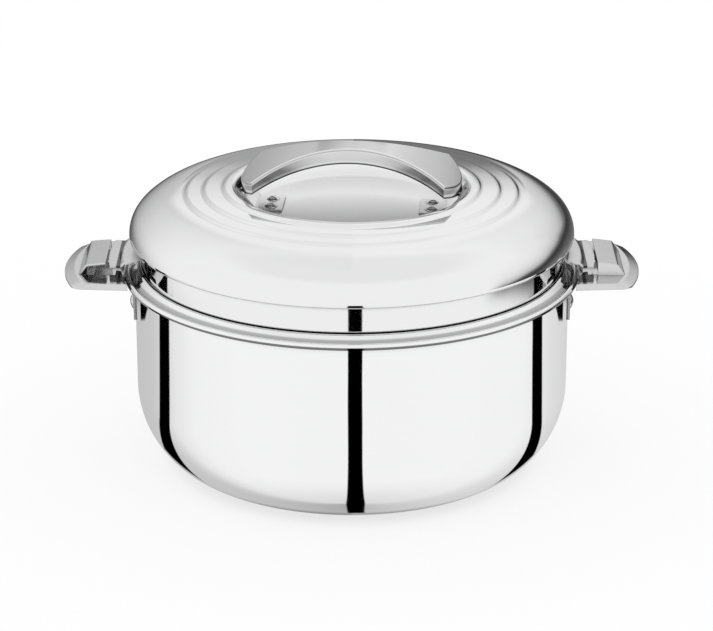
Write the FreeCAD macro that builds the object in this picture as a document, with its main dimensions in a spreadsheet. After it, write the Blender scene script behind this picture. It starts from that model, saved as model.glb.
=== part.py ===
import FreeCAD, Part
import math
import os
import Sketcher

# Insulated stainless-steel serving casserole with a lift-off lid.
# Frame: origin at the centre of the foot on the table, +Z up, +X towards the right side
# handle. All sizes are millimetres.

SIZES = {
    # metal thicknesses
    "shell_gauge": 0.6,
    "strip_gauge": 1.2,
    "handle_gauge": 1.0,
    # pot: outer radius of the body, corner between wall and foot, double wall
    "pot_radius": 115.0,
    "corner_width": 33.6,
    "corner_height": 42.9,
    "corner_tight": 27.0,
    "foot_lip": 9.0,
    "wall_depth": 11.0,
    "bowl_floor": 17.0,
    "bowl_corner": 32.0,
    "mouth_round": 1.5,
    # rim: level seat for the lid, slope to a crease, rolled bead
    "seat_height": 109.4,
    "seat_round": 2.5,
    "seat_margin": 0.6,
    "bead_drop": 4.4,
    "bead_radius": 1.8,
    "rim_overhang": 5.8,
    "crease_inset": 2.1,
    "crease_rise": 0.7,
    "flange_gap": 0.1,
    "flange_bend": 1.2,
    "foam_gap": 0.3,
    # base plate with its raised middle
    "base_margin": 2.0,
    "base_rib_margin": 26.4,
    "base_rib_depth": 2.4,
    "base_rib_round": 2.0,
    # lid: wall, dome, three terraces, dished middle, plug below
    "seat_gap": 0.3,
    "lid_wall_inset": 2.7,
    "lid_wall_height": 13.7,
    "hem_width": 5.0,
    "hem_bend": 1.0,
    "dome_overhang": 5.0,
    "dome_edge": 2.6,
    "dome_edge_bend": 0.8,
    "dome_rise": 25.0,
    "shoulder_width": 27.3,
    "shoulder_tight": 16.5,
    "terrace_drop": 1.4,
    "terrace_curve": 3.0,
    "terrace_outer_inset": 2.5,
    "terrace_middle_inset": 12.0,
    "terrace_inner_inset": 22.4,
    "recess_inset": 27.0,
    "recess_depth": 12.3,
    "recess_tilt": 60.0,
    "recess_fillet": 8.0,
    "recess_lip": 2.5,
    "plug_clearance": 1.6,
    "plug_depth": 8.7,
    "plug_corner": 6.0,
    # arched lid handle
    "strap_rise": 21.6,
    "strap_curve": 104.0,
    "strap_depth": 8.0,
    "strap_lip_curve": 118.0,
    "strap_fold": 1.2,
    "strap_waist": 8.5,
    "strap_side_curve": 68.0,
    "strap_end_gap": 5.0,
    "strap_tab_width": 24.0,
    "strap_tab_inset": 0.6,
    "strap_tab_knee": 9.0,
    "strap_tab_run": 8.0,
    "strap_tab_bend": 2.5,
    "strap_tab_lap": 1.6,
    "strap_foot_length": 22.0,
    "strap_turn": 4.0,
    # side handles: plan, edge sloped and turned down, raised hood, mouth for the lid's ear
    "grip_rise": 2.5,
    "grip_flange": 3.0,
    "grip_half_width": 36.5,
    "grip_taper": 4.0,
    "grip_rim_gap": 1.2,
    "grip_depth": 30.0,
    "grip_end_curve": 88.0,
    "grip_corner_curve": 8.0,
    "grip_slope_drop": 2.0,
    "grip_slope_end": 5.0,
    "grip_slope_side": 1.2,
    "hood_rise": 6.5,
    "hood_setback": 7.0,
    "hood_end_margin": 8.9,
    "hood_end_run": 3.6,
    "hood_fall": 1.2,
    "hood_side_foot": 20.6,
    "hood_side_run": 1.6,
    "hood_open": 19.5,
    "hood_round": 1.6,
    "mouth_closed_side": 15.0,
    "mouth_open_side": 13.0,
    "mouth_corner": 3.0,
    "mouth_margin": 0.8,
    # brackets under the side handles; angles are in degrees about the pot's axis
    "bracket_rim_gap": 1.2,
    "bracket_height": 20.8,
    "bracket_root_bend": 6.0,
    "bracket_step_bend": 3.0,
    "bracket_top_bend": 1.5,
    "bracket_angle": 14.0,
    "bracket_step_margin": 8.5,
    "bracket_end_margin": 1.5,
    "backing_angle": 15.0,
    "backing_margin": 6.0,
    # ears on the lid
    "ear_height": 12.5,
    "ear_neck_height": 4.5,
    "ear_neck_margin": 0.4,
    "ear_bend": 2.6,
    "ear_joggle_run": 1.7,
    "ear_joggle_bend": 1.5,
    "ear_hood_clearance": 0.4,
    "ear_hood_gap": 0.6,
    "ear_angle": 19.0,
    # rivets
    "rivet_shank": 1.9,
    "rivet_head": 3.6,
    "rivet_head_height": 1.7,
    "rivet_clearance": 0.1,
    "head_seat": 0.08,
    "bracket_rivet_drop": 12.6,
    "bracket_rivet_angle": 3.6,
    "bracket_rivet_shank": 2.2,
    "bracket_rivet_head": 4.3,
    "ear_rivet_rise": 9.5,
    "ear_rivet_angle": 5.6,
    "ear_rivet_shank": 1.4,
    "ear_rivet_head": 2.5,
    "strap_rivet_inset": 6.0,
    "strap_rivet_half": 6.0,
    "strap_backing_margin": 1.0,
    "pocket_clearance": 0.5,
    "pocket_angle": 1.0,
}

DOC = FreeCAD.newDocument("casserole")
UP = FreeCAD.Vector(0, 0, 1)
DOWN = FreeCAD.Vector(0, 0, -1)
OUTWARD = FreeCAD.Vector(1, 0, 0)
BACK = FreeCAD.Vector(0, 1, 0)
ORIGIN = FreeCAD.Vector(0, 0, 0)
TO_XZ = FreeCAD.Rotation(FreeCAD.Vector(1, 0, 0), 90)
TO_YZ = FreeCAD.Rotation(FreeCAD.Vector(1, 1, 1), 120)
# sketch x runs up and sketch y runs along +X, for pieces turned about an upright axis
TO_UPRIGHT = FreeCAD.Rotation(FreeCAD.Vector(1, 0, 1), 180)
# how far a cutting tool runs past the faces that it cuts
CUT_RUN = 5.0
# two places nearer than this are the same place
SAME = 0.01


class Size:
    """A value together with the spreadsheet formula that gives it."""

    def __init__(self, value, text):
        self.value = float(value)
        self.text = text

    @staticmethod
    def of(number):
        if isinstance(number, Size):
            return number
        return Size(number, "(%.10g)" % number)

    def combine(self, other, sign, value):
        return Size(value, "(%s %s %s)" % (self.text, sign, Size.of(other).text))

    def __add__(self, other):
        return self.combine(other, "+", self.value + Size.of(other).value)

    def __sub__(self, other):
        return self.combine(other, "-", self.value - Size.of(other).value)

    def __mul__(self, other):
        return self.combine(other, "*", self.value * Size.of(other).value)

    def __truediv__(self, other):
        return self.combine(other, "/", self.value / Size.of(other).value)

    def __neg__(self):
        return Size.of(0) - self

    def __radd__(self, other):
        return Size.of(other) + self

    def __rsub__(self, other):
        return Size.of(other) - self

    def __rmul__(self, other):
        return Size.of(other) * self


def root(size):
    return Size(math.sqrt(size.value), "sqrt(%s)" % size.text)


def sine(size):
    return Size(math.sin(math.radians(size.value)), "sin(%s * 1 deg)" % size.text)


def cosine(size):
    return Size(math.cos(math.radians(size.value)), "cos(%s * 1 deg)" % size.text)


class Sheet:
    """The spreadsheet of driving dimensions, one aliased cell per size."""

    def __init__(self, sizes):
        self.page = DOC.addObject("Spreadsheet::Sheet", "sizes")
        for row, (name, value) in enumerate(sizes.items(), start=1):
            self.page.set("A%d" % row, name)
            self.page.set("B%d" % row, str(value))
            self.page.setAlias("B%d" % row, name)
        DOC.recompute()

    def __getattr__(self, name):
        return Size(getattr(self.page, name), "sizes.%s" % name)


d = Sheet(SIZES)

# ---------------------------------------------------------------- sizes that follow from others

foot_radius = d.pot_radius - d.corner_width
bowl_radius = d.pot_radius - d.wall_depth
rim_radius = d.pot_radius + d.rim_overhang
bead_height = d.seat_height - d.bead_drop
bead_low = bead_height - d.bead_radius
rim_flange = bead_low + d.shell_gauge + d.flange_gap
foam_inset = d.shell_gauge + d.foam_gap

lid_foot = d.seat_height + d.seat_gap
lid_wall_radius = d.pot_radius - d.lid_wall_inset
seat_radius = lid_wall_radius + d.seat_margin
dome_radius = lid_wall_radius + d.dome_overhang
dome_widest = lid_foot + d.lid_wall_height + d.dome_edge
crown_height = dome_widest + d.dome_rise
shoulder_radius = dome_radius - d.shoulder_width
recess_radius = shoulder_radius - d.recess_inset
recess_floor = crown_height - d.recess_depth
plug_radius = bowl_radius - d.plug_clearance
plug_floor = lid_foot - d.plug_depth

strap_top = crown_height + d.strap_rise
strap_end = recess_radius - d.strap_end_gap
strap_foot_reach = strap_end - d.strap_foot_length
strap_rivet_place = strap_foot_reach + d.strap_rivet_inset
strap_lip_centre = strap_top - d.strap_depth - d.strap_lip_curve
strap_lip_end = strap_lip_centre + root(d.strap_lip_curve * d.strap_lip_curve - strap_end * strap_end)

grip_top = bead_height + d.grip_rise
grip_inner = rim_radius + d.grip_rim_gap
grip_reach = grip_inner + d.grip_depth
grip_crease = grip_reach - d.grip_slope_end
hood_top = grip_top + d.hood_rise
hood_inner = grip_inner + d.hood_setback
hood_foot = grip_reach - d.hood_end_margin

bracket_flat = bead_low - d.bracket_rim_gap - d.strip_gauge
bracket_rivet_height = bracket_flat - d.bracket_rivet_drop
backing_low = bracket_rivet_height - d.backing_margin
backing_high = bracket_rivet_height + d.backing_margin

ear_plate = lid_wall_radius + d.strip_gauge
ear_neck = lid_foot + d.ear_neck_height
ear_tongue = hood_top - d.handle_gauge - d.ear_hood_clearance
ear_joggle = rim_radius + d.ear_neck_margin
ear_rivet_height = lid_foot + d.ear_rivet_rise
ear_backing_low = ear_rivet_height - d.ear_rivet_head - d.pocket_clearance
ear_backing_high = ear_rivet_height + d.ear_rivet_head + d.pocket_clearance


# ---------------------------------------------------------------- sketches

def line(x, y):
    return (Size.of(x), Size.of(y), None, 0)


def arc(x, y, radius, turn):
    """An arc that ends at (x, y): turn is +1 counter-clockwise, -1 clockwise."""
    return (Size.of(x), Size.of(y), Size.of(radius), turn)


def rounded(points):
    """Straight runs through the points; a point given with a radius is rounded."""
    steps = []
    for index, point in enumerate(points):
        here = (Size.of(point[0]), Size.of(point[1]))
        if len(point) == 2:
            steps.append(line(*here))
            continue
        before = points[index - 1]
        after = points[(index + 1) % len(points)]
        towards = unit(before, here)
        away = unit(here, after)
        turn_cosine = towards[0] * away[0] + towards[1] * away[1]
        side = towards[0].value * away[1].value - towards[1].value * away[0].value
        cut_back = point[2] * root((1 - turn_cosine) / (1 + turn_cosine))
        steps.append(line(here[0] - towards[0] * cut_back, here[1] - towards[1] * cut_back))
        steps.append(arc(here[0] + away[0] * cut_back, here[1] + away[1] * cut_back,
                         point[2], 1 if side > 0 else -1))
    return steps


def unit(start, end):
    across = Size.of(end[0]) - start[0]
    along = Size.of(end[1]) - start[1]
    length = root(across * across + along * along)
    return (across / length, along / length)


def arc_edge(start, end, radius, turn):
    """The arc's geometry between two numeric points."""
    half = (end - start) / 2
    rise = math.sqrt(max(radius ** 2 - half.Length ** 2, 0))
    side = FreeCAD.Vector(-half.y, half.x, 0).normalize() * rise * turn
    centre = start + half + side
    first = math.atan2(start.y - centre.y, start.x - centre.x)
    last = math.atan2(end.y - centre.y, end.x - centre.x)
    circle = Part.Circle(centre, UP, radius)
    if turn > 0:
        return Part.ArcOfCircle(circle, first, last)
    return Part.ArcOfCircle(circle, last, first)


def outline(name, steps, rotation=None, closed=True):
    """A sketch through the steps, each corner and radius bound to the spreadsheet."""
    sketch = DOC.addObject("Sketcher::SketchObject", name + "_sketch")
    if rotation is not None:
        sketch.Placement = FreeCAD.Placement(ORIGIN, rotation)
    places = [FreeCAD.Vector(step[0].value, step[1].value, 0) for step in steps]
    joints = []
    for index in range(1, len(steps) + (1 if closed else 0)):
        start = places[index - 1]
        end = places[index % len(steps)]
        step = steps[index % len(steps)]
        if step[2] is None:
            edge = sketch.addGeometry(Part.LineSegment(start, end), False)
            joints.append((edge, 1, 2, step))
        else:
            edge = sketch.addGeometry(arc_edge(start, end, step[2].value, step[3]), False)
            joints.append((edge, 1, 2, step) if step[3] > 0 else (edge, 2, 1, step))
    first = (joints[0][0], joints[0][1], steps[0])
    bind_point(sketch, *first)
    for position, (edge, begin, finish, step) in enumerate(joints):
        if position > 0:
            meet(sketch, joints[position - 1][0], joints[position - 1][2], edge, begin)
        if closed and position == len(joints) - 1:
            meet(sketch, edge, finish, first[0], first[1])
        else:
            bind_point(sketch, edge, finish, step)
        if step[2] is not None:
            bind(sketch, Sketcher.Constraint("Radius", edge, step[2].value), step[2])
    return sketch


def meet(sketch, edge, end, other_edge, other_end):
    sketch.addConstraint(Sketcher.Constraint("Coincident", edge, end, other_edge, other_end))


def bind(sketch, constraint, size):
    number = sketch.addConstraint(constraint)
    sketch.setExpression("Constraints[%d]" % number, size.text)


def bind_point(sketch, edge, end, step):
    bind(sketch, Sketcher.Constraint("DistanceX", -1, 1, edge, end, step[0].value), step[0])
    bind(sketch, Sketcher.Constraint("DistanceY", -1, 1, edge, end, step[1].value), step[1])


# ---------------------------------------------------------------- solids

def sheet_section(name, sketch, gauge):
    """The cut face of sheet metal along an open line: positive lies to its left."""
    wall = DOC.addObject("Part::Offset2D", name + "_wall")
    wall.Source = sketch
    wall.Mode = "Skin"
    wall.Join = "Arc"
    wall.Fill = True
    wall.setExpression("Value", gauge.text)
    return wall


def inset_outline(name, sketch, distance):
    """A closed outline drawn again inside itself."""
    inside = DOC.addObject("Part::Offset2D", name + "_inset")
    inside.Source = sketch
    inside.Mode = "Pipe"
    inside.Join = "Arc"
    inside.setExpression("Value", (-distance).text)
    return inside


def turned(name, source, angle=None):
    """Turn a profile about the vertical axis: fully, or through angle about +X."""
    solid = DOC.addObject("Part::Revolution", name)
    solid.Source = source
    solid.Axis = UP
    solid.Base = ORIGIN
    solid.Solid = isinstance(source, FreeCAD.DocumentObject) and source.TypeId.startswith("Sketcher")
    if angle is None:
        solid.Angle = 360
    else:
        solid.Symmetric = True
        solid.setExpression("Angle", angle.text)
    return solid


def turned_sheet(name, steps, gauge, angle=None):
    """Sheet metal turned about the vertical axis; the metal lies on the gauge's side."""
    sketch = outline(name, steps, TO_XZ, closed=False)
    return turned(name, sheet_section(name, sketch, gauge), angle)


def turned_solid(name, steps):
    return turned(name, outline(name, steps, TO_XZ))


def extruded(name, source, direction, forward, backward=0):
    solid = DOC.addObject("Part::Extrusion", name)
    solid.Base = source
    solid.DirMode = "Custom"
    solid.Dir = direction
    solid.Solid = True
    solid.setExpression("LengthFwd", Size.of(forward).text)
    solid.setExpression("LengthRev", Size.of(backward).text)
    return solid


def cylinder(name, radius, length, axis, place):
    """A cylinder along the axis vector that starts at the bound place."""
    solid = DOC.addObject("Part::Cylinder", name)
    solid.setExpression("Radius", radius.text)
    solid.setExpression("Height", length.text)
    solid.Placement = FreeCAD.Placement(ORIGIN, FreeCAD.Rotation(UP, axis))
    for letter, size in zip("xyz", place):
        solid.setExpression("Placement.Base.%s" % letter, Size.of(size).text)
    return solid


def cut(name, base, tools):
    joined = tools[0]
    if len(tools) > 1:
        joined = fuse(name + "_tools", tools)
    result = DOC.addObject("Part::Cut", name)
    result.Base = base
    result.Tool = joined
    return result


def fuse(name, shapes):
    result = DOC.addObject("Part::MultiFuse", name)
    result.Shapes = shapes
    return result


def common(name, first, second):
    result = DOC.addObject("Part::Common", name)
    result.Base = first
    result.Tool = second
    return result


def softened(name, source, radius, chosen):
    """The source with a rounding of one radius along every edge that chosen picks."""
    DOC.recompute()
    body = DOC.addObject("PartDesign::Body", name)
    body.BaseFeature = source
    DOC.recompute()
    base = body.Group[0]
    rounding = body.newObject("PartDesign::Fillet", name + "_rounding")
    edges = enumerate(base.Shape.Edges, start=1)
    rounding.Base = (base, ["Edge%d" % number for number, edge in edges if chosen(edge)])
    rounding.setExpression("Radius", radius.text)
    body.Tip = rounding
    return body


def group(name, shapes):
    result = DOC.addObject("Part::Compound", name)
    result.Links = shapes
    return result


# ---------------------------------------------------------------- shared curves

def oval_quarter(short, long, tight):
    """Two tangent arcs that stand for a quarter ellipse.

    Returns the wide radius and where the arcs meet, as distances from the
    ellipse's centre along its short and its long half axis.
    """
    wide = ((long - tight) * (long - tight) + short * short - tight * tight) / (2 * (short - tight))
    meet_short = wide * (wide - short) / (wide - tight) - (wide - short)
    meet_long = wide * (long - tight) / (wide - tight)
    return wide, meet_short, meet_long


def pot_side(inset, top):
    """The pot's side from the foot up to top, set in from the outer face."""
    width = d.pot_radius - foot_radius - inset
    height = d.corner_height - inset
    tight = d.corner_tight - inset
    wide, meet_short, meet_long = oval_quarter(width, height, tight)
    return [
        line(foot_radius, inset),
        arc(foot_radius + meet_short, d.corner_height - meet_long, tight, 1),
        arc(d.pot_radius - inset, d.corner_height, wide, 1),
        line(d.pot_radius - inset, top),
    ]


def terrace(radius, height, inset):
    """One soft step down: a convex arc, then a hollow one."""
    tilt_cosine = 1 - d.terrace_drop / (2 * d.terrace_curve)
    tilt_sine = root(1 - tilt_cosine * tilt_cosine)
    half = d.terrace_curve * tilt_sine
    return [
        line(radius - half, height - inset),
        arc(radius - inset * tilt_sine, height - d.terrace_drop / 2 - inset * tilt_cosine,
            d.terrace_curve - inset, -1),
        arc(radius + half, height - d.terrace_drop - inset, d.terrace_curve + inset, 1),
    ]


def lid_skin(inset):
    """The lid's top from the middle of the recess out to its widest line."""
    tilt_sine = sine(d.recess_tilt)
    tilt_cosine = cosine(d.recess_tilt)
    floor = recess_floor - inset
    curves = d.recess_fillet + d.recess_lip
    slope = (d.recess_depth - curves * (1 - tilt_cosine)) / tilt_sine
    floor_radius = recess_radius - curves * tilt_sine - slope * tilt_cosine
    steps = [
        line(0, floor),
        line(floor_radius, floor),
        arc(floor_radius + (d.recess_fillet + inset) * tilt_sine,
            floor + (d.recess_fillet + inset) * (1 - tilt_cosine), d.recess_fillet + inset, 1),
        line(recess_radius - (d.recess_lip - inset) * tilt_sine,
             crown_height - d.recess_lip + (d.recess_lip - inset) * tilt_cosine),
        arc(recess_radius, crown_height - inset, d.recess_lip - inset, -1),
    ]
    height = crown_height
    for terrace_inset in (d.terrace_inner_inset, d.terrace_middle_inset, d.terrace_outer_inset):
        steps += terrace(shoulder_radius - terrace_inset, height, inset)
        height = height - d.terrace_drop
    long = dome_radius - shoulder_radius - inset
    short = height - dome_widest - inset
    tight = d.shoulder_tight - inset
    wide, meet_short, meet_long = oval_quarter(short, long, tight)
    steps += [
        line(shoulder_radius, height - inset),
        arc(shoulder_radius + meet_long, dome_widest + meet_short, wide, -1),
        arc(dome_radius - inset, dome_widest, tight, -1),
    ]
    return steps


# ---------------------------------------------------------------- rivets

def rivet_outline(name, base, face, back, shank, head, rotation):
    """Half a rivet: domed head on the face, flat head behind the back."""
    dome = (head * head + d.rivet_head_height * d.rivet_head_height) / (2 * d.rivet_head_height)
    steps = [
        line(back - d.rivet_head_height, base),
        line(back - d.rivet_head_height, base + head),
        line(back, base + head),
        line(back, base + shank),
        line(face, base + shank),
        line(face, base + head),
        arc(face + d.rivet_head_height, base, dome, -1),
    ]
    return outline(name, steps, rotation)


def radial_rivet(name, face, grip, height, angle, shank, head):
    """A rivet along the radius, its domed head outside, turned to its angle."""
    back = face - grip - d.head_seat
    rivet = DOC.addObject("Part::Revolution", name)
    rivet.Source = rivet_outline(name, height, face, back, shank, head, TO_XZ)
    rivet.Axis = OUTWARD
    rivet.setExpression("Base.z", height.text)
    rivet.Angle = 360
    rivet.Solid = True
    return turned_to(group(name + "_turned", [rivet]), angle)


def radial_hole(name, shank, height, angle, start, end):
    """The rivet's clearance hole along the radius from start to end."""
    hole = cylinder(name, shank + d.rivet_clearance, end - start, OUTWARD, (start, 0, height))
    return turned_to(group(name + "_turned", [hole]), angle)


def turned_to(shape, angle, axis=UP):
    """Turn an object about the vertical axis by an angle in degrees, bound to its size."""
    shape.Placement = FreeCAD.Placement(ORIGIN, FreeCAD.Rotation(axis, angle.value))
    shape.setExpression("Placement.Rotation.Angle", angle.text)
    return shape


def block(name, low, high):
    """A box between two corners."""
    solid = DOC.addObject("Part::Box", name)
    for length, letter, start, end in zip(("Length", "Width", "Height"), "xyz", low, high):
        solid.setExpression(length, (Size.of(end) - start).text)
        solid.setExpression("Placement.Base.%s" % letter, Size.of(start).text)
    return solid


# ---------------------------------------------------------------- fastening places

def bracket_rivets():
    for column, side in (("front", -1), ("back", 1)):
        yield column, bracket_rivet_height, side * d.bracket_rivet_angle


def ear_rivets():
    for column, side in (("front", -1), ("back", 1)):
        yield column, ear_rivet_height, side * d.ear_rivet_angle


def strap_rivets():
    for across in (-1, 1):
        for along in (-1, 1):
            yield across * strap_rivet_place, along * d.strap_rivet_half


SIDES = (("right", 0), ("left", 180))


def wall_holes(name, places, shank, outer):
    """Clearance holes through a round wall on both sides of the object."""
    holes = []
    for side, facing in SIDES:
        for label, height, angle in places():
            hole_name = "%s_%s_%s" % (name, side, label)
            holes.append(radial_hole(hole_name, shank, height, angle + facing,
                                     outer - CUT_RUN, outer + CUT_RUN))
    return holes


def strap_holes(name):
    """Clearance holes for the upright rivets of the lid's handle."""
    low = recess_floor - CUT_RUN
    radius = d.rivet_shank + d.rivet_clearance
    return [
        cylinder("%s_%d" % (name, number), radius, Size.of(2 * CUT_RUN), UP, (across, along, low))
        for number, (across, along) in enumerate(strap_rivets())
    ]


# ---------------------------------------------------------------- pot

def outer_shell():
    bend = d.flange_bend
    steps = [line(foot_radius - d.foot_lip, 0)]
    steps += pot_side(Size.of(0), rim_flange - bend)
    steps += [
        arc(d.pot_radius + bend, rim_flange, bend, -1),
        line(rim_radius - d.bead_radius, rim_flange),
    ]
    blank = turned_sheet("outer_shell_blank", steps, d.shell_gauge)
    holes = wall_holes("shell_hole", bracket_rivets, d.bracket_rivet_shank, d.pot_radius)
    return cut("outer_shell", blank, holes)


def inner_bowl():
    bead_middle = rim_radius - d.bead_radius
    lean = math.sqrt(0.5)
    steps = rounded([
        (0, d.bowl_floor),
        (bowl_radius, d.bowl_floor, d.bowl_corner),
        (bowl_radius, d.seat_height, d.mouth_round),
        (seat_radius, d.seat_height, d.seat_round),
        (bead_middle - d.crease_inset, bead_height + d.crease_rise),
    ])
    steps += [
        line(bead_middle - d.bead_radius * lean, bead_height + d.bead_radius * lean),
        arc(rim_radius, bead_height, d.bead_radius, -1),
        arc(bead_middle, bead_height - d.bead_radius, d.bead_radius, -1),
        line(bead_middle - d.crease_inset, bead_height - d.bead_radius),
    ]
    return turned_sheet("inner_bowl", steps, -d.shell_gauge)


def base_plate():
    rib_radius = foot_radius - d.base_rib_margin
    steps = rounded([
        (0, d.shell_gauge + d.base_rib_depth),
        (rib_radius - d.base_rib_depth, d.shell_gauge + d.base_rib_depth, d.base_rib_round),
        (rib_radius, d.shell_gauge, d.base_rib_round),
        (foot_radius - d.base_margin, d.shell_gauge),
    ])
    return turned_sheet("base_plate", steps, d.shell_gauge)


def pot_insulation():
    inset = foam_inset
    low = 2 * d.shell_gauge + d.base_rib_depth + d.foam_gap
    side = pot_side(inset, rim_flange - d.flange_bend)
    drop = d.corner_tight - low
    tight = d.corner_tight - inset
    side[0] = line(foot_radius + root(tight * tight - drop * drop), low)
    bowl = rounded([
        (bowl_radius + inset, rim_flange - d.flange_bend),
        (bowl_radius + inset, d.bowl_floor - inset, d.bowl_corner + inset),
        (0, d.bowl_floor - inset),
    ])
    blank = turned_solid("pot_insulation_blank", [line(0, low)] + side + bowl)
    inner = d.pot_radius - d.shell_gauge - d.strip_gauge - d.rivet_head_height - d.pocket_clearance
    pockets = side_rings("pot_pocket", inner, d.pot_radius,
                         backing_low - d.pocket_clearance, backing_high + d.pocket_clearance,
                         d.backing_angle + d.pocket_angle)
    return cut("pot_insulation", blank, pockets)


def side_rings(name, inner, outer, low, high, angle):
    """A short piece of ring on each side, centred on the handles."""
    return [
        turned_to(ring_piece("%s_%s" % (name, side), inner, outer, low, high, angle), Size.of(facing))
        for side, facing in SIDES
    ]


def ring_piece(name, inner, outer, low, high, angle):
    steps = [line(inner, low), line(outer, low), line(outer, high), line(inner, high)]
    piece = turned(name, outline(name, steps, TO_XZ), angle)
    return group(name + "_turned", [piece])


# ---------------------------------------------------------------- side handles

def bracket(side, facing):
    """The strap under a handle: riveted to the wall, bent out under the rim and up to the plate."""
    name = side + "_handle_bracket"
    top = grip_top - d.handle_gauge - d.strip_gauge
    rise = top - bracket_flat
    step = grip_crease - d.bracket_step_margin
    steps = rounded([
        (d.pot_radius + d.strip_gauge, bracket_flat - d.bracket_height),
        (d.pot_radius + d.strip_gauge, bracket_flat, d.bracket_root_bend),
        (step, bracket_flat, d.bracket_step_bend),
        (step + rise / 2, top, d.bracket_top_bend),
        (grip_crease - d.bracket_end_margin, top),
    ])
    blank = turned_sheet(name + "_blank", steps, d.strip_gauge, d.bracket_angle)
    holes = [
        radial_hole("%s_hole_%s" % (name, label), d.bracket_rivet_shank, height, angle,
                    d.pot_radius - CUT_RUN, d.pot_radius + CUT_RUN)
        for label, height, angle in bracket_rivets()
    ]
    return turned_to(cut(name, blank, holes), Size.of(facing))


def bracket_backing(side, facing):
    name = side + "_bracket_backing_plate"
    outer = d.pot_radius - d.shell_gauge
    blank = ring_piece(name + "_blank", outer - d.strip_gauge, outer,
                       backing_low, backing_high, d.backing_angle)
    holes = [
        radial_hole("%s_hole_%s" % (name, label), d.bracket_rivet_shank, height, angle,
                    outer - CUT_RUN, outer + CUT_RUN)
        for label, height, angle in bracket_rivets()
    ]
    return turned_to(cut(name, blank, holes), Size.of(facing))


def bracket_rivet_set(side, facing):
    name = side + "_bracket_rivets"
    grip = 2 * d.strip_gauge + d.shell_gauge
    rivets = [
        radial_rivet("%s_%s" % (name, label), d.pot_radius + d.strip_gauge, grip, height, angle,
                     d.bracket_rivet_shank, d.bracket_rivet_head)
        for label, height, angle in bracket_rivets()
    ]
    return turned_to(group(name, rivets), Size.of(facing))


def grip_outline(name, height, side_inset, end_inset, rim_inset):
    """The handle seen from above: tapered sides, a bowed end, an arc round the rim."""
    inner = grip_inner + rim_inset
    start_y = d.grip_half_width - side_inset
    start_x = root(inner * inner - start_y * start_y)
    taper_sine = sine(d.grip_taper)
    taper_cosine = cosine(d.grip_taper)
    end_centre = grip_reach - end_inset - d.grip_end_curve
    corner_to_end = d.grip_end_curve - d.grip_corner_curve
    across = taper_sine * (start_x - end_centre) + taper_cosine * start_y - d.grip_corner_curve
    along = root(corner_to_end * corner_to_end - across * across)
    corner_x = end_centre + across * taper_sine + along * taper_cosine
    corner_y = across * taper_cosine - along * taper_sine
    side_x = corner_x + d.grip_corner_curve * taper_sine
    side_y = corner_y + d.grip_corner_curve * taper_cosine
    stretch = d.grip_end_curve / corner_to_end
    end_x = end_centre + (corner_x - end_centre) * stretch
    end_y = corner_y * stretch
    sketch = outline(name, [
        arc(start_x, -start_y, inner, -1),
        line(side_x, -side_y),
        arc(end_x, -end_y, d.grip_corner_curve, 1),
        arc(end_x, end_y, d.grip_end_curve, 1),
        arc(side_x, side_y, d.grip_corner_curve, 1),
        line(start_x, start_y),
    ])
    sketch.setExpression("Placement.Base.z", height.text)
    return sketch


def grip_form(name, wall, low):
    """The plate's form with its sloping edge, set in by wall from its faces."""
    drop = d.grip_slope_drop
    end_slope = root(drop * drop + d.grip_slope_end * d.grip_slope_end)
    side_slope = root(drop * drop + d.grip_slope_side * d.grip_slope_side)
    knee = grip_top - drop - wall * (end_slope - drop) / d.grip_slope_end
    crease_end = d.grip_slope_end + wall * (end_slope - d.grip_slope_end) / drop
    crease_side = d.grip_slope_side + wall * (side_slope - d.grip_slope_side) / drop
    form = DOC.addObject("Part::Loft", name)
    form.Sections = [
        grip_outline(name + "_foot", low, wall, wall, wall),
        grip_outline(name + "_knee", knee, wall, wall, wall),
        grip_outline(name + "_crease", grip_top - wall, crease_side, crease_end, wall),
    ]
    form.Solid = True
    form.Ruled = True
    return form


def hood_block(name, wall, low, inner, open_side):
    """The hood's form, its top falling outward, set in by wall from its outer faces."""
    height = hood_top - grip_top
    fall = d.hood_fall * (hood_foot - d.hood_end_run - inner) / (hood_foot - d.hood_end_run - hood_inner)
    end_run = d.hood_end_run
    side_run = d.hood_side_run
    end_shift = wall * root(end_run * end_run + height * height) / height
    side_shift = wall * root(side_run * side_run + height * height) / height
    end_foot = hood_foot - end_shift
    side_foot = d.hood_side_foot - side_shift
    end_crease = end_foot - end_run * (height - wall) / height
    side_crease = side_foot - side_run * (height - wall) / height
    top = hood_top - wall
    bend = d.hood_round - wall
    end_view = outline(name + "_end", rounded([
        (inner, low),
        (end_foot, low),
        (end_foot, grip_top),
        (end_crease, top - d.hood_fall, bend),
        (inner, top - d.hood_fall + fall),
    ]), TO_XZ)
    side_view = outline(name + "_side", rounded([
        (-side_foot, low),
        (open_side, low),
        (open_side, top),
        (-side_crease, top, bend),
        (-side_foot, grip_top),
    ]), TO_YZ)
    along = extruded(name + "_along", end_view, BACK, d.grip_half_width, d.grip_half_width)
    across = extruded(name + "_across", side_view, OUTWARD, grip_reach)
    return common(name, along, across)


def mouth_block(name, low):
    """The cut in the plate that the lid's ear comes down into, its corners rounded."""
    closed = d.mouth_closed_side
    opened = d.mouth_open_side
    corner = d.mouth_corner
    edge = root(grip_inner * grip_inner - closed * closed)
    sketch = outline(name, [
        line(d.pot_radius, -closed - corner),
        line(edge, -closed - corner),
        arc(edge + corner, -closed, corner, -1),
        line(hood_inner, -closed),
        line(hood_inner, opened),
        line(edge + corner, opened),
        arc(edge, opened + corner, corner, -1),
        line(d.pot_radius, opened + corner),
    ])
    sketch.setExpression("Placement.Base.z", low.text)
    return extruded(name, sketch, UP, hood_top - low)


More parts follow.
